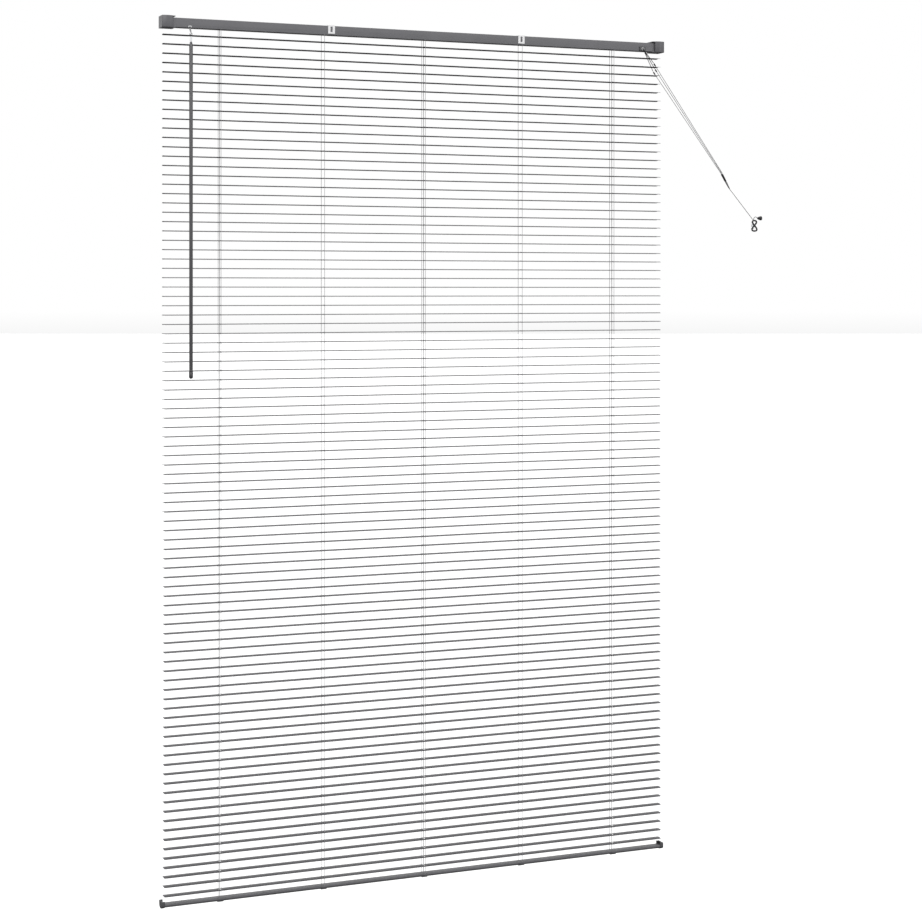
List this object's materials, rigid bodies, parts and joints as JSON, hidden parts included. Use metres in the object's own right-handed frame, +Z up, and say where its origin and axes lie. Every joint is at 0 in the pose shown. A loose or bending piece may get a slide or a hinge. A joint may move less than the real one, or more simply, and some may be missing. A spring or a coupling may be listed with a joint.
{
  "type": "venetian blind",
  "caption": "Horizontal-slat aluminium blind with box-bracketed headrail, tilt wand, ladder cords, bottom rail and a pull cord made fast to a wall cleat.",
  "frame": {"origin": "on the left box bracket's top face, above the headrail's centre line", "axes": "+X along the headrail to the right as seen from the room, -Y towards the room, +Z up"},
  "size_m": [1.7225, 0.044, 2.2068],
  "materials": {
    "rail_paint": "satin",
    "slat_paint": "satin",
    "string": "braided",
    "lead_cord": "braided",
    "white_plastic": "moulded",
    "dark_plastic": "moulded",
    "steel": "plated",
    "clear_plastic": "clear",
    "wand_plastic": "moulded",
    "cap_plastic": "moulded"
  },
  "bodies": {
    "root": {"headrail": "rail_paint", "end_bracket_left": "rail_paint", "end_bracket_right": "rail_paint", "centre_bracket_left": "white_plastic", "centre_bracket_right": "white_plastic", "drum_cradle_1": "white_plastic", "drum_cradle_2": "white_plastic", "drum_cradle_3": "white_plastic", "drum_cradle_4": "white_plastic", "drum_cradle_5": "white_plastic", "tilter_housing": "white_plastic", "cord_lock_body": "dark_plastic", "cord_leads": "lead_cord", "break_away_connector_1": "dark_plastic", "break_away_connector_2": "dark_plastic", "break_away_connector_3": "dark_plastic", "pull_cord_1": "string", "pull_cord_2": "string", "pull_cord_3": "string", "cord_joiner": "dark_plastic", "pull_cord_tail": "string", "wall_cleat": "dark_plastic", "cord_tassel": "dark_plastic"},
    "tilt_shaft": {"tilt_rod": "steel", "tilt_drum_1": "white_plastic", "tilt_drum_2": "white_plastic", "tilt_drum_3": "white_plastic", "tilt_drum_4": "white_plastic", "tilt_drum_5": "white_plastic"},
    "tilter_worm": {"tilter_worm": "steel"},
    "wand_hanger": {"wand_link": "clear_plastic"},
    "wand": {"wand": "wand_plastic", "wand_tip": "wand_plastic"},
    "cover_left": {"bracket_cover_left": "rail_paint"},
    "cover_right": {"bracket_cover_right": "rail_paint"},
    "lock_roller": {"cord_lock_roller": "steel"},
    "lift_carriage": {"lift_cord_end": "string"},
    "bottom_rail": {"bottom_rail": "rail_paint", "bottom_rail_cap_left": "cap_plastic", "bottom_rail_cap_right": "cap_plastic", "cord_button_1": "rail_paint", "cord_button_2": "rail_paint", "cord_button_3": "rail_paint", "cord_button_4": "rail_paint", "cord_button_5": "rail_paint"},
    "bank_1_back": {"slat_bank_1": "slat_paint"},
    "bank_1_front": {"ladder_strand_1": "string"},
    "bank_2_back": {"slat_bank_2": "slat_paint"},
    "bank_2_front": {"ladder_strand_2": "string"},
    "bank_3_back": {"slat_bank_3": "slat_paint"},
    "bank_3_front": {"ladder_strand_3": "string"},
    "bank_4_back": {"slat_bank_4": "slat_paint"},
    "bank_4_front": {"ladder_strand_4": "string"},
    "bank_5_back": {"slat_bank_5": "slat_paint"},
    "bank_5_front": {"ladder_strand_5": "string"},
    "bank_6_back": {"slat_bank_6": "slat_paint"},
    "bank_6_front": {"ladder_strand_6": "string"},
    "bank_7_back": {"slat_bank_7": "slat_paint"},
    "bank_7_front": {"ladder_strand_7": "string"}
  },
  "joints": [
    {"name": "tilt_shaft_turn", "type": "hinge", "parent": "root", "child": "tilt_shaft", "pos_m": [0.683, 0, -0.0165], "axis": [1, 0, 0], "range_deg": [-75.1, 75.1]},
    {"name": "lift", "type": "slide", "parent": "root", "child": "lift_carriage", "axis": [0, 0, 1], "range_m": [0, 1.8102], "deforming": ["lift_cord_end"]},
    {"name": "bottom_rail_tilt", "type": "hinge", "parent": "lift_carriage", "child": "bottom_rail", "pos_m": [0.683, 0, -2.2], "axis": [1, 0, 0], "range_deg": [-76, 76]},
    {"name": "worm_spin", "type": "hinge", "parent": "root", "child": "tilter_worm", "pos_m": [0.055, -0.005, -0.0195], "axis": [0, -0.5425, -0.84], "range_deg": [-905, 905]},
    {"name": "wand_swing", "type": "hinge", "parent": "root", "child": "wand_hanger", "pos_m": [0.055, -0.0205, -0.0445], "axis": [-1, 0, 0], "range_deg": [0, 60]},
    {"name": "wand_spin", "type": "hinge", "parent": "wand_hanger", "child": "wand", "pos_m": [0.055, -0.0205, -0.4], "axis": [0, 0, -1], "range_deg": [-905, 905]},
    {"name": "cover_left_swing", "type": "hinge", "parent": "root", "child": "cover_left", "pos_m": [0, -0.01745, -0.00085], "axis": [-1, 0, 0], "range_deg": [0, 110]},
    {"name": "cover_right_swing", "type": "hinge", "parent": "root", "child": "cover_right", "pos_m": [1.366, -0.01745, -0.00085], "axis": [-1, 0, 0], "range_deg": [0, 110]},
    {"name": "lock_roller_spin", "type": "hinge", "parent": "root", "child": "lock_roller", "pos_m": [1.319, -0.005, -0.0155], "axis": [1, 0, 0], "continuous": true},
    {"name": "slat_tilt", "type": "slide", "parent": "root", "child": "bank_1_back", "axis": [0, 0, 1], "range_m": [-0.01207, 0.01207], "deforming": ["slat_bank_1"]},
    {"name": "bank_1_front_tilt", "type": "slide", "parent": "bank_1_back", "child": "bank_1_front", "axis": [0, 0, 1], "range_m": [-0.02454, 0.02454], "deforming": ["ladder_strand_1"]},
    {"name": "bank_2_lift", "type": "slide", "parent": "bank_1_back", "child": "bank_2_back", "axis": [0, 0, 1], "range_m": [0, 0.322], "deforming": ["slat_bank_2"]},
    {"name": "bank_2_front_tilt", "type": "slide", "parent": "bank_2_back", "child": "bank_2_front", "axis": [0, 0, 1], "range_m": [-0.02454, 0.02454], "deforming": ["ladder_strand_2"]},
    {"name": "bank_3_lift", "type": "slide", "parent": "bank_1_back", "child": "bank_3_back", "axis": [0, 0, 1], "range_m": [0, 0.6198], "deforming": ["slat_bank_3"]},
    {"name": "bank_3_front_tilt", "type": "slide", "parent": "bank_3_back", "child": "bank_3_front", "axis": [0, 0, 1], "range_m": [-0.02454, 0.02454], "deforming": ["ladder_strand_3"]},
    {"name": "bank_4_lift", "type": "slide", "parent": "bank_1_back", "child": "bank_4_back", "axis": [0, 0, 1], "range_m": [0, 0.9177], "deforming": ["slat_bank_4"]},
    {"name": "bank_4_front_tilt", "type": "slide", "parent": "bank_4_back", "child": "bank_4_front", "axis": [0, 0, 1], "range_m": [-0.02454, 0.02454], "deforming": ["ladder_strand_4"]},
    {"name": "bank_5_lift", "type": "slide", "parent": "bank_1_back", "child": "bank_5_back", "axis": [0, 0, 1], "range_m": [0, 1.2155], "deforming": ["slat_bank_5"]},
    {"name": "bank_5_front_tilt", "type": "slide", "parent": "bank_5_back", "child": "bank_5_front", "axis": [0, 0, 1], "range_m": [-0.02454, 0.02454], "deforming": ["ladder_strand_5"]},
    {"name": "bank_6_lift", "type": "slide", "parent": "bank_1_back", "child": "bank_6_back", "axis": [0, 0, 1], "range_m": [0, 1.5133], "deforming": ["slat_bank_6"]},
    {"name": "bank_6_front_tilt", "type": "slide", "parent": "bank_6_back", "child": "bank_6_front", "axis": [0, 0, 1], "range_m": [-0.02454, 0.02454], "deforming": ["ladder_strand_6"]},
    {"name": "bank_7_lift", "type": "slide", "parent": "bank_1_back", "child": "bank_7_back", "axis": [0, 0, 1], "range_m": [0, 1.8112], "deforming": ["slat_bank_7"]},
    {"name": "bank_7_front_tilt", "type": "slide", "parent": "bank_7_back", "child": "bank_7_front", "axis": [0, 0, 1], "range_m": [-0.02454, 0.02454], "deforming": ["ladder_strand_7"]}
  ],
  "couplings": [
    {"joint": "tilt_shaft_turn", "follows": "slat_tilt", "rad_per_m": 108.45},
    {"joint": "bottom_rail_tilt", "follows": "slat_tilt", "rad_per_m": 108.45},
    {"joint": "worm_spin", "follows": "slat_tilt", "rad_per_m": 1301.4},
    {"joint": "wand_spin", "follows": "slat_tilt", "rad_per_m": 1301.4},
    {"joint": "bank_1_front_tilt", "follows": "slat_tilt", "ratio": -2},
    {"joint": "bank_2_lift", "follows": "lift", "ratio": 0.17733},
    {"joint": "bank_2_front_tilt", "follows": "slat_tilt", "ratio": -2},
    {"joint": "bank_3_lift", "follows": "lift", "ratio": 0.34186},
    {"joint": "bank_3_front_tilt", "follows": "slat_tilt", "ratio": -2},
    {"joint": "bank_4_lift", "follows": "lift", "ratio": 0.50639},
    {"joint": "bank_4_front_tilt", "follows": "slat_tilt", "ratio": -2},
    {"joint": "bank_5_lift", "follows": "lift", "ratio": 0.67092},
    {"joint": "bank_5_front_tilt", "follows": "slat_tilt", "ratio": -2},
    {"joint": "bank_6_lift", "follows": "lift", "ratio": 0.83546},
    {"joint": "bank_6_front_tilt", "follows": "slat_tilt", "ratio": -2},
    {"joint": "bank_7_lift", "follows": "lift", "ratio": 0.99999},
    {"joint": "bank_7_front_tilt", "follows": "slat_tilt", "ratio": -2}
  ]
}
